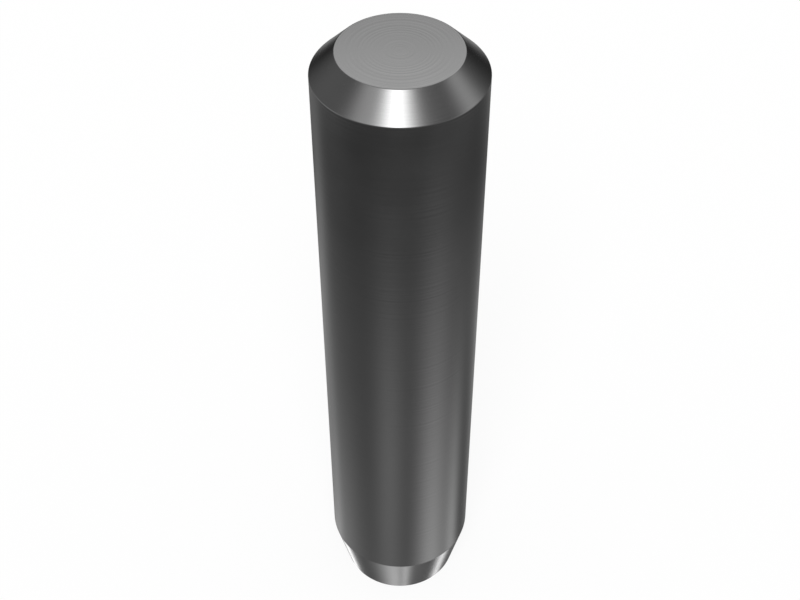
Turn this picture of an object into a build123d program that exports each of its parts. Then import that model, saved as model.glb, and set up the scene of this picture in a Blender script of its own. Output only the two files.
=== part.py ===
from build123d import *
import os

# A taperlock stud, turned from round steel bar in one piece. Sizes are in millimetres.
# It stands on its tapered foot, +Z up, with the origin at the centre of the foot's face.

# Driving sizes
barrel_diameter = 12.0
overall_length = 55.0
head_bevel = 1.7  # the same along the axis and across it, so the bevel lies at 45 degrees
foot_taper_length = 4.8
foot_face_diameter = 9.85  # the root diameter of a 12 mm coarse thread, so the foot enters a tapped hole
edge_break = 0.1  # radius that takes the sharpness off each turned corner

# Places that follow from the driving sizes
barrel_radius = barrel_diameter / 2
foot_face_radius = foot_face_diameter / 2
head_face_radius = barrel_radius - head_bevel
barrel_top = overall_length - head_bevel


# The stud is its half section, from the foot up to the head, turned once round the axis.
with BuildPart() as stud:
    with BuildSketch(Plane.XZ):
        with BuildLine():
            foot_face = Line((0, 0), (foot_face_radius, 0))
            foot_taper = Line(foot_face @ 1, (barrel_radius, foot_taper_length))
            barrel = Line(foot_taper @ 1, (barrel_radius, barrel_top))
            bevel = Line(barrel @ 1, (head_face_radius, overall_length))
            head_face = Line(bevel @ 1, (0, overall_length))
            Line(head_face @ 1, foot_face @ 0)
        make_face()
    revolve(axis=Axis.Z)

    turned_corners = stud.edges().filter_by(GeomType.CIRCLE)
    fillet(turned_corners, radius=edge_break)

stud.part.label = "stud"

os.makedirs("parts", exist_ok=True)
export_step(stud.part, "parts/stud.step")

print(f"stud: volume {stud.part.volume:.1f} mm3, size {stud.part.bounding_box().size}")
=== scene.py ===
# %% [markdown]
# # A taperlock stud
#
# The stud is one piece of round steel, turned on a lathe: a tapered foot, a straight barrel, a broad
# bevel and a flat head face. It was blackened after turning, so the metal is dark and smooth, and what
# we see of it is mostly the reflection of what stands round it. So this lesson has two halves. First we
# turn the stud as a lathe would, and give it its metal. Then we build the studio that the metal shows.
#
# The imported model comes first. It says how large each piece is and where it stands, in metres.

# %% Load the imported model
import math

import bmesh
import bpy
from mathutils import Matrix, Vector


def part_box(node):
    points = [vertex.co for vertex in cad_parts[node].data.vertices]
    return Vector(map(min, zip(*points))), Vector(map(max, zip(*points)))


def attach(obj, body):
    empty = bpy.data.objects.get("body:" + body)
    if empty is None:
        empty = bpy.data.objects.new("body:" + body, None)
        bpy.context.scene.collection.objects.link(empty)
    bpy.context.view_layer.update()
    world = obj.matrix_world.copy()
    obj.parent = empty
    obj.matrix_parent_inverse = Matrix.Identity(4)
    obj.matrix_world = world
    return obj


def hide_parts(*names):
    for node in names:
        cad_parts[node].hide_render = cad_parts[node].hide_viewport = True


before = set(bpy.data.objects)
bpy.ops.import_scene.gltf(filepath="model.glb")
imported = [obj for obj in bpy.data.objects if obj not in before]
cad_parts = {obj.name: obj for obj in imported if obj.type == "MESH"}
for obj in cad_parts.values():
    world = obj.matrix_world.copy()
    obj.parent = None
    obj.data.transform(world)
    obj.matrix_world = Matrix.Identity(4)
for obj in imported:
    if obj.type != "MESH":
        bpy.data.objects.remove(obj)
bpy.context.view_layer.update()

MM = 0.001
scene = bpy.context.scene
scene.view_settings.view_transform = "Standard"


# %% [markdown]
# ## Read the stud's sizes
#
# A turned piece is fully described by its half section: the radius at each height. We could type those
# sizes in again, but then they could drift away from the real part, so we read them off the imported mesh.
# Its points lie in rings, and where one ring is well above the one before it, the outline runs straight
# between them. The first such stretch is on the taper, the last is on the bevel, and the longest is the
# barrel, and a stretch is enough to say where its whole flank lies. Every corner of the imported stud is
# already rounded, but we want sharp corners first, to round them ourselves, so each flank is drawn on
# until it meets the next one.

# %% Find a straight stretch of each flank
RING_DECIMALS = 4  # points of one ring agree in mm to this many decimals
SHORTEST_STRETCH = 0.2  # in mm, further than any rounded corner climbs

packed_points = [vertex.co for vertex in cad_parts["stud"].data.vertices]
rings = sorted({(round(point.z / MM, RING_DECIMALS), round(point.xy.length / MM, RING_DECIMALS))
                for point in packed_points})
stretches = [(low, high) for low, high in zip(rings, rings[1:]) if high[0] - low[0] > SHORTEST_STRETCH]
taper, bevel = stretches[0], stretches[-1]
barrel = max(stretches, key=lambda stretch: math.dist(*stretch))
print(len(rings), "rings,", len(stretches), "stretches, from (height, radius) to (height, radius), in mm")
print("on the taper", taper, "the barrel", barrel, "on the bevel", bevel)

# %% Draw the flanks on to their corners
def radius_along(flank, height):
    """The radius that the straight flank has at that height."""
    (low, low_radius), (high, high_radius) = flank
    return low_radius + (high_radius - low_radius) * (height - low) / (high - low)


def height_along(flank, radius):
    """The height at which the straight flank has that radius."""
    (low, low_radius), (high, high_radius) = flank
    return low + (high - low) * (radius - low_radius) / (high_radius - low_radius)


def lean(flank):
    """How far the flank leans from the axis, in radians."""
    (low, low_radius), (high, high_radius) = flank
    return math.atan2(abs(high_radius - low_radius), high - low)


foot_low, head_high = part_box("stud")
stud_length = (head_high.z - foot_low.z) / MM
barrel_radius = barrel[0][1]
foot_face_radius = radius_along(taper, 0)
taper_top = height_along(taper, barrel_radius)
barrel_top = height_along(bevel, barrel_radius)
head_face_radius = radius_along(bevel, stud_length)

# A round takes its radius times the tangent of half the turn from each of the flanks that it joins.
taken_by_round = barrel_top - barrel[1][0]
edge_break = taken_by_round / math.tan(lean(bevel) / 2)
print("foot face radius", round(foot_face_radius, 3), "taper to", round(taper_top, 3))
print("barrel radius", round(barrel_radius, 3), "up to", round(barrel_top, 3))
print("head face radius", round(head_face_radius, 3), "at", round(stud_length, 3))
print("edge break", round(edge_break, 3))

# %% [markdown]
# ## Turn the stud
#
# A lathe makes this shape by spinning the bar against a tool, and Blender's spin does the same: we draw
# the half section as a chain of edges in the XZ plane and sweep it once round the Z axis. The first and
# last copies meet, so they are merged, and so are the two points on the axis, which the sweep repeats.
# A cylinder with bevelled ends would also do, but the half section shows every size in one place.

# %% Spin the half section
SPIN_STEPS = 192
MERGE_DISTANCE = 0.0001 * MM
half_section = [
    # radius, height
    (0, 0),
    (foot_face_radius, 0),
    (barrel_radius, taper_top),
    (barrel_radius, barrel_top),
    (head_face_radius, stud_length),
    (0, stud_length),
]

turned = bmesh.new()
outline = [turned.verts.new((radius * MM, 0, height * MM)) for radius, height in half_section]
edges = [turned.edges.new(pair) for pair in zip(outline, outline[1:])]
bmesh.ops.spin(turned, geom=outline + edges, cent=(0, 0, 0), axis=(0, 0, 1), angle=math.tau,
               steps=SPIN_STEPS, use_merge=True, use_duplicate=False)
bmesh.ops.remove_doubles(turned, verts=turned.verts, dist=MERGE_DISTANCE)
bmesh.ops.recalc_face_normals(turned, faces=turned.faces)
print("turned mesh:", len(turned.verts), "points,", len(turned.faces), "faces")

# %% [markdown]
# ## Break the edges
#
# No real edge is perfectly sharp. After turning, a touch of a file leaves each corner with a round of
# about a tenth of a millimetre, and that round is what catches a fine line of light. The same radius
# takes up less of the face at a shallow corner than at a steep one, so each ring of edges is bevelled
# by its own setback, which one Bevel modifier of one width couldn't do.

# %% Round each turned corner
ROUND_SEGMENTS = 4
ROUND_PROFILE = 0.5  # an arc of a circle
NEAR = 0.001 * MM  # a point as near as this to a ring lies on it
corner_turns = [
    # height, radius, and the angle by which the outline turns there
    (0, foot_face_radius, math.pi / 2 - lean(taper)),
    (taper_top, barrel_radius, lean(taper)),
    (barrel_top, barrel_radius, lean(bevel)),
    (stud_length, head_face_radius, math.pi / 2 - lean(bevel)),
]


def on_ring(point, height, radius):
    """Whether the point lies at that height and radius, in mm."""
    return abs(point.z - height * MM) < NEAR and abs(point.xy.length - radius * MM) < NEAR


def ring_of_edges(mesh, height, radius):
    """The edges of the mesh that run round the axis at that height and radius."""
    return [edge for edge in mesh.edges if all(on_ring(end.co, height, radius) for end in edge.verts)]


for height, radius, turn in corner_turns:
    corner = ring_of_edges(turned, height, radius)
    setback = edge_break * math.tan(turn / 2)
    bmesh.ops.bevel(turned, geom=corner, offset=setback * MM, offset_type="OFFSET", affect="EDGES",
                    segments=ROUND_SEGMENTS, profile=ROUND_PROFILE, material=-1)
    print("corner at", round(height, 2), "mm:", len(corner), "edges, set back", round(setback, 4), "mm")

bmesh.ops.recalc_face_normals(turned, faces=turned.faces)
print("rounded mesh:", len(turned.verts), "points,", len(turned.faces), "faces")

# %% [markdown]
# Smooth shading gives each point the average direction of the faces round it. Beside a tiny round, that
# would tilt the edge of the flat head face and of the long barrel, and bend all that they reflect. A
# real round runs into its flats without a kink, so at its rim the direction is that of the flat. So we
# give each point the direction of the largest faces that meet there. The Weighted Normal modifier does
# nearly the same, but it lets the small faces in a little.

# %% Keep the flats flat
LARGE_SHARE = 0.5  # a face counts as large if it has more than this share of the largest one's area


def direction_of_largest_faces(point):
    """The mean normal of the large faces that meet at the point."""
    largest = max(face.calc_area() for face in point.link_faces)
    large = [face.normal for face in point.link_faces if face.calc_area() > largest * LARGE_SHARE]
    return sum(large, Vector()).normalized()


turned.normal_update()
shading_normals = [direction_of_largest_faces(point) for point in turned.verts]

stud_mesh = bpy.data.meshes.new("turned_stud")
turned.to_mesh(stud_mesh)
turned.free()
stud_mesh.shade_smooth()
stud_mesh.normals_split_custom_set_from_vertices(shading_normals)
stud = bpy.data.objects.new("turned_stud", stud_mesh)
scene.collection.objects.link(stud)

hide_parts("stud")
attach(stud, "root")
print("stud:", len(stud_mesh.polygons), "faces")

# %% [markdown]
# ## The metal
#
# Blackened steel is steel with a thin dark oxide grown into its own surface. It is still a metal to the
# eye: no colour of its own under the gloss, just a dim mirror, so the base colour is a dark neutral grey
# and metallic is full. A turning tool leaves fine rings round the axis, closer together than the eye
# resolves, and they soften the reflection a little, so roughness is low but not zero.
#
# The rings could be cut into the mesh, but they are thousandths of a millimetre deep, so a bump does.
# Its noise runs along one number, height less radius, which changes along every flank, up the barrel
# as well as across the faces. So one pattern rings them all.

# %% Helpers for materials
def linear(hex_colour):
    """An sRGB colour such as '#595959' as the linear red, green, blue and alpha that shaders want."""
    channels = [int(hex_colour[i:i + 2], 16) / 255 for i in (1, 3, 5)]
    return [c / 12.92 if c <= 0.04045 else ((c + 0.055) / 1.055) ** 2.4 for c in channels] + [1.0]


def add_node(tree, kind, inputs=None, **settings):
    """A new node, with its settings made and its inputs filled with values or linked to sockets."""
    node = tree.nodes.new(kind)
    for name, value in settings.items():
        setattr(node, name, value)
    for key, value in (inputs or {}).items():
        if isinstance(value, bpy.types.NodeSocket):
            tree.links.new(value, node.inputs[key])
        else:
            node.inputs[key].default_value = value
    return node


def new_material(name):
    """An empty node material, and its tree."""
    material = bpy.data.materials.new(name)
    material.use_nodes = True
    material.node_tree.nodes.clear()
    return material, material.node_tree


# %% Blackened turned steel
# The tool's feed is about 0.1 mm a turn. It is drawn at 0.25 mm, or the picture couldn't show it.
RING_SPACING = 0.25 * MM
RING_DEPTH = 0.004 * MM
RING_DETAIL = 3.0
RING_ROUGHNESS = 0.6

# The oxide and its film of oil are a little uneven, in clouds some millimetres across. Where a cloud
# is dense, the metal is a touch paler and less glossy.
CLOUD_SIZE = 7 * MM
CLOUD_DETAIL = 4.0
CLOUD_ROUGHNESS = 0.55
THIN_CLOUD = 0.3
DENSE_CLOUD = 0.7
DARK_OXIDE = linear("#565656")
PALE_OXIDE = linear("#5c5c5c")
GLOSSIEST = 0.14
DULLEST = 0.20


def blackened_steel():
    """Dark, neutral, semi-bright metal with faint turning rings and slight clouds."""
    material, tree = new_material("blackened_turned_steel")
    place = add_node(tree, "ShaderNodeTexCoord").outputs["Object"]

    split = add_node(tree, "ShaderNodeSeparateXYZ", {0: place}).outputs
    flat = add_node(tree, "ShaderNodeCombineXYZ", {"X": split["X"], "Y": split["Y"]})
    radius = add_node(tree, "ShaderNodeVectorMath", {0: flat.outputs[0]}, operation="LENGTH")
    along_tool = add_node(tree, "ShaderNodeMath", {0: split["Z"], 1: radius.outputs["Value"]},
                          operation="SUBTRACT")
    rings = add_node(tree, "ShaderNodeTexNoise", {"W": along_tool.outputs[0], "Scale": 1 / RING_SPACING,
                                                  "Detail": RING_DETAIL, "Roughness": RING_ROUGHNESS},
                     noise_dimensions="1D")
    bump = add_node(tree, "ShaderNodeBump", {"Strength": 1.0, "Distance": RING_DEPTH,
                                             "Height": rings.outputs["Fac"]})

    clouds = add_node(tree, "ShaderNodeTexNoise", {"Vector": place, "Scale": 1 / CLOUD_SIZE,
                                                   "Detail": CLOUD_DETAIL,
                                                   "Roughness": CLOUD_ROUGHNESS}).outputs["Fac"]
    tone = add_node(tree, "ShaderNodeMix", {"Factor": clouds, "A": DARK_OXIDE, "B": PALE_OXIDE},
                    data_type="RGBA")
    gloss = add_node(tree, "ShaderNodeMapRange", {"Value": clouds, "From Min": THIN_CLOUD,
                                                  "From Max": DENSE_CLOUD, "To Min": GLOSSIEST,
                                                  "To Max": DULLEST})

    surface = add_node(tree, "ShaderNodeBsdfPrincipled", {"Base Color": tone.outputs["Result"],
                                                          "Metallic": 1.0,
                                                          "Roughness": gloss.outputs["Result"],
                                                          "Normal": bump.outputs["Normal"]})
    add_node(tree, "ShaderNodeOutputMaterial", {"Surface": surface.outputs["BSDF"]})
    return material


steel = blackened_steel()
stud_mesh.materials.append(steel)
print("steel has", len(steel.node_tree.nodes), "nodes")

# %% [markdown]
# ## The camera
#
# The photograph looks down on the stud from 45 degrees, from close by: the barrel narrows towards the
# foot. The distance and the lens were worked out from the ellipses that the stud's corners draw. A
# longer lens from further off would show the stud as large, but its sides would look parallel.

# %% Place the camera
CAMERA_DISTANCE = 99.6 * MM
CAMERA_ELEVATION = math.radians(45.1)
TARGET = Vector((0, 0, 32.2 * MM))
LENS_MM = 58.4
SENSOR_MM = 36.0
NEAREST_SEEN = 1 * MM
FARTHEST_SEEN = 10.0  # in metres, well past the far edge of the floor below

camera_data = bpy.data.cameras.new("camera")
camera_data.lens = LENS_MM
camera_data.sensor_width = SENSOR_MM
camera_data.clip_start = NEAREST_SEEN
camera_data.clip_end = FARTHEST_SEEN
camera = bpy.data.objects.new("camera", camera_data)
towards_camera = Vector((0, -math.cos(CAMERA_ELEVATION), math.sin(CAMERA_ELEVATION)))
camera.location = TARGET + CAMERA_DISTANCE * towards_camera
camera.rotation_euler = (-towards_camera).to_track_quat("-Z", "Y").to_euler()
scene.collection.objects.link(camera)
scene.camera = camera
print("camera at, in mm:", [round(c / MM, 1) for c in camera.location])

# %% [markdown]
# ## The floor and the room
#
# The photograph's background is plain white. A white world alone would give that, but nothing would
# take the stud's shadow. So the floor is a white sheet, mixed most of the way to plain white for the
# rays that look at it. The room's walls are plain white to those rays too, and dimmer to the rays that
# light things, or the shadow would drown.

# %% Tell the rays that look from the rays that light
def seen_directly(tree):
    """1 for camera, glossy and transmission rays, and 0 for the rays that light things."""
    rays = add_node(tree, "ShaderNodeLightPath").outputs
    first_two = add_node(tree, "ShaderNodeMath", {0: rays["Is Camera Ray"], 1: rays["Is Glossy Ray"]},
                         operation="MAXIMUM")
    all_three = add_node(tree, "ShaderNodeMath", {0: first_two.outputs[0],
                                                  1: rays["Is Transmission Ray"]}, operation="MAXIMUM")
    return all_three.outputs[0]


# %% The floor, a sheet of white paper
FLOOR_SIZE = 3.0  # in metres
PAPER_WHITE = linear("#f4f4f4")
WHITE = linear("#ffffff")
BACKGROUND_SHARE = 0.85  # how much of what the camera sees of the paper is plain white

floor_mesh = bpy.data.meshes.new("floor")
sheet = bmesh.new()
bmesh.ops.create_grid(sheet, x_segments=1, y_segments=1, size=FLOOR_SIZE / 2)
sheet.to_mesh(floor_mesh)
sheet.free()
floor = bpy.data.objects.new("floor", floor_mesh)
scene.collection.objects.link(floor)

# Paper is matt: it scatters light evenly, with no gloss, and takes a soft shadow.
paper, tree = new_material("white_paper")
lit = add_node(tree, "ShaderNodeBsdfDiffuse", {"Color": PAPER_WHITE})
plain = add_node(tree, "ShaderNodeEmission", {"Color": WHITE, "Strength": 1.0})
share = add_node(tree, "ShaderNodeMath", {0: seen_directly(tree), 1: BACKGROUND_SHARE},
                 operation="MULTIPLY")
mixed = add_node(tree, "ShaderNodeMixShader", {0: share.outputs[0], 1: lit.outputs[0],
                                               2: plain.outputs[0]})
add_node(tree, "ShaderNodeOutputMaterial", {"Surface": mixed.outputs[0]})
floor_mesh.materials.append(paper)
print("floor:", FLOOR_SIZE, "m square,", BACKGROUND_SHARE, "plain white")

# %% The white room
ROOM_LEVEL = 0.6

room = bpy.data.worlds.new("white_room")
scene.world = room
room.use_nodes = True
tree = room.node_tree
tree.nodes.clear()
strength = add_node(tree, "ShaderNodeMapRange", {"Value": seen_directly(tree), "To Min": ROOM_LEVEL,
                                                 "To Max": 1.0})
sky = add_node(tree, "ShaderNodeBackground", {"Color": WHITE, "Strength": strength.outputs["Result"]})
add_node(tree, "ShaderNodeOutputWorld", {"Surface": sky.outputs[0]})
print("room: lights things at a level of", ROOM_LEVEL)

# %% [markdown]
# ## The light tent
#
# A mirror in a plain white room is plain white. A photographer stands polished metal in a light tent,
# and what hangs round the inside of it, lit panels and dark flags, is what draws the stripes on the
# metal. Our tent is a large sphere that only reflections see. Its cloth glows evenly at each height, and
# each panel adds a soft patch of light, or, as a flag, takes some away. The sphere goes all the way
# round, so in reflections it takes the place of the white floor, which the metal in the photograph
# doesn't show. Lamps in the shape of panels would also draw stripes, but they would light the floor too.

# %% Put up the tent
TENT_RADIUS = 3.0  # in metres
TENT_SEGMENTS = 64

tent_mesh = bpy.data.meshes.new("light_tent")
ball = bmesh.new()
bmesh.ops.create_uvsphere(ball, u_segments=TENT_SEGMENTS, v_segments=TENT_SEGMENTS // 2,
                          radius=TENT_RADIUS)
ball.to_mesh(tent_mesh)
ball.free()
tent_mesh.shade_smooth()
tent = bpy.data.objects.new("light_tent", tent_mesh)
scene.collection.objects.link(tent)
tent.visible_camera = False
tent.visible_diffuse = False
tent.visible_shadow = False
tent.visible_volume_scatter = False
floor.visible_glossy = False
print("tent:", TENT_RADIUS, "m in radius,", len(tent_mesh.polygons), "faces")

# %% Which way each point of the tent lies, in degrees
cloth, tree = new_material("tent_cloth")
place = add_node(tree, "ShaderNodeTexCoord").outputs["Object"]
towards = add_node(tree, "ShaderNodeVectorMath", {0: place}, operation="NORMALIZE").outputs["Vector"]
split = add_node(tree, "ShaderNodeSeparateXYZ", {0: towards}).outputs

# The camera stands towards -Y, so azimuths are counted from there, and grow towards +X.
front = add_node(tree, "ShaderNodeMath", {0: split["Y"], 1: -1.0}, operation="MULTIPLY")
azimuth_radians = add_node(tree, "ShaderNodeMath", {0: split["X"], 1: front.outputs[0]},
                           operation="ARCTAN2")
elevation_radians = add_node(tree, "ShaderNodeMath", {0: split["Z"]}, operation="ARCSINE")
radians = add_node(tree, "ShaderNodeCombineXYZ", {"X": azimuth_radians.outputs[0],
                                                  "Y": elevation_radians.outputs[0]})
degrees = add_node(tree, "ShaderNodeVectorMath", {0: radians.outputs[0], "Scale": math.degrees(1)},
                   operation="SCALE")
angles = degrees.outputs["Vector"]
print("azimuth and elevation take", len(tree.nodes), "nodes")

# %% The cloth's own glow, by height
CLOTH_GLOW = [
    # elevation in degrees, glow
    (-90, 0.1),
    (-60, 0.2),
    (-45, 0.4),
    (-38, 0.2),
    (-25, 0.6),
    (0, 0.8),
    (20, 0.7),
    (40, 0.55),
    (60, 1.4),
    (90, 1.5),
]
LOWEST = -90
HIGHEST = 90
MIDDLE = 0.5  # where a new stop of a colour ramp starts, before it is moved to its height

brightest = max(level for elevation, level in CLOTH_GLOW)
elevation_degrees = add_node(tree, "ShaderNodeSeparateXYZ", {0: angles}).outputs["Y"]
climb = add_node(tree, "ShaderNodeMapRange", {"Value": elevation_degrees, "From Min": LOWEST,
                                              "From Max": HIGHEST})
ramp = add_node(tree, "ShaderNodeValToRGB", {"Fac": climb.outputs["Result"]})
stops = ramp.color_ramp.elements
while len(stops) < len(CLOTH_GLOW):
    stops.new(MIDDLE)
for stop, (elevation, level) in zip(stops, CLOTH_GLOW):
    grey = level / brightest
    stop.position = (elevation - LOWEST) / (HIGHEST - LOWEST)
    stop.color = (grey, grey, grey, 1)
glow = add_node(tree, "ShaderNodeMath", {0: ramp.outputs["Color"], 1: brightest}, operation="MULTIPLY")
print("cloth glows at up to", brightest, "in", len(stops), "stops")

# %% [markdown]
# Each panel is placed by its azimuth, from the camera's side towards the right, and its elevation. Its
# width and height say how far from its middle its light has fallen to half. All of them are in degrees.
#
# Where a panel hangs follows from the stripe that it draws: a ray from the camera to that stripe is
# mirrored by the metal, and where it then goes, there the panel is. The flat head mirrors a patch high
# up at the back, the bevel a band from one side over the camera to the other, the barrel a ring below
# the horizon, and the foot what lies round its own base. The last five panels draw next to nothing that
# this camera sees. They keep the metal lively when it is seen from the level.

# %% The panels and flags
PANELS = [
    # name, azimuth, elevation, width, height, light
    # the head face and the bevel
    ("back_softbox", 175, 45, 40, 10, 3.9),
    ("key", -5, 50, 20, 12, 13.0),
    ("key_glow", -55, 40, 15, 15, 1.6),
    ("right_softbox", 95, 25, 15, 12, 1.7),
    ("back_right_flag", 150, 0, 30, 20, -0.7),
    ("back_left_flag", -155, 0, 25, 20, -0.7),
    # the barrel, from its left rim to its right rim
    ("left_rim", -135, -40, 14, 5, 0.2),
    ("left_lamp", -130, -57, 10, 6, 0.3),
    ("left_low", -100, -58, 35, 6, 0.5),
    ("left_strip", -16, -52, 20, 6, 0.65),
    ("right_strip", 55, -60, 24, 11, 1.8),
    ("right_low", 100, -57, 12, 6, 1.0),
    ("right_rim_flag", 130, -50, 20, 8, -0.1),
    # the foot, and the glints at its two sides
    ("foot_left", -30, -85, 40, 15, 2.0),
    ("foot_right", 30, -85, 14, 8, 2.0),
    ("glint_left", -152, -62, 8, 4, 2.1),
    ("glint_right", 128, -69, 7, 4, 3.4),
    # what the metal shows when it is seen from the level
    ("left_softbox", -80, 0, 20, 8, 0.9),
    ("right_window", 80, 0, 15, 8, 1.5),
    ("side_front", 5, -20, 15, 8, 0.6),
    ("side_left", -90, -20, 20, 8, 1.3),
    ("side_right", 85, -20, 18, 8, 1.3),
]
flags = [panel for panel in PANELS if panel[-1] < 0]
print(len(PANELS) - len(flags), "lit panels and", len(flags), "flags")

# %% Hang the panels on the cloth
# The angle from a panel to a point of the cloth is taken the shorter way round.
HALF_TURN = (180, 180, 1)
MINUS_HALF_TURN = (-180, -180, -1)
HALF = 0.5  # the share of its light that a panel has left at its width or height from its middle
DARKEST = 0.02  # the glow that is left where flags would take away more than there is

for name, azimuth, elevation, width, height, light in PANELS:
    away = add_node(tree, "ShaderNodeVectorMath", {0: angles, 1: (azimuth, elevation, 0)},
                    operation="SUBTRACT")
    shortest = add_node(tree, "ShaderNodeVectorMath", {0: away.outputs["Vector"], 1: HALF_TURN,
                                                       2: MINUS_HALF_TURN}, operation="WRAP")
    scaled = add_node(tree, "ShaderNodeVectorMath", {0: shortest.outputs["Vector"],
                                                     1: (width, height, 1)},
                      operation="DIVIDE").outputs["Vector"]
    squared = add_node(tree, "ShaderNodeVectorMath", {0: scaled, 1: scaled}, operation="DOT_PRODUCT")
    fading = add_node(tree, "ShaderNodeMath", {0: HALF, 1: squared.outputs["Value"]}, operation="POWER")
    glow = add_node(tree, "ShaderNodeMath", {0: fading.outputs[0], 1: light, 2: glow.outputs[0]},
                    operation="MULTIPLY_ADD", label=name)

never_black = add_node(tree, "ShaderNodeMath", {0: glow.outputs[0], 1: DARKEST}, operation="MAXIMUM")
shine = add_node(tree, "ShaderNodeEmission", {"Color": WHITE, "Strength": never_black.outputs[0]})
add_node(tree, "ShaderNodeOutputMaterial", {"Surface": shine.outputs[0]})

# Only reflections see the tent, so it needn't be sampled as a lamp.
cloth.cycles.emission_sampling = "NONE"
tent_mesh.materials.append(cloth)
print("tent cloth has", len(tree.nodes), "nodes")

# %% [markdown]
# ## The lamp
#
# One broad soft lamp over the camera lights the floor and throws the stud's faint shadow behind it. It
# is a sun lamp with a wide disc, so it needs a direction but no place. It shines from where the tent has
# its key panel, so the metal and the floor agree on where the light comes from. The metal already sees
# the panel there, so the lamp itself stays out of reflections.

# %% The lamp
LAMP_SPREAD = math.radians(30)
LAMP_STRENGTH = 2.0

key = next(panel for panel in PANELS if panel[0] == "key")
key_azimuth, key_elevation = (math.radians(angle) for angle in key[1:3])
towards_lamp = Vector((math.sin(key_azimuth) * math.cos(key_elevation),
                       -math.cos(key_azimuth) * math.cos(key_elevation), math.sin(key_elevation)))
lamp_data = bpy.data.lights.new("broad_lamp", "SUN")
lamp_data.angle = LAMP_SPREAD
lamp_data.energy = LAMP_STRENGTH
lamp = bpy.data.objects.new("broad_lamp", lamp_data)
lamp.rotation_euler = (-towards_lamp).to_track_quat("-Z", "Y").to_euler()
lamp.visible_glossy = False
scene.collection.objects.link(lamp)
print("lamp towards", [round(c, 2) for c in towards_lamp])
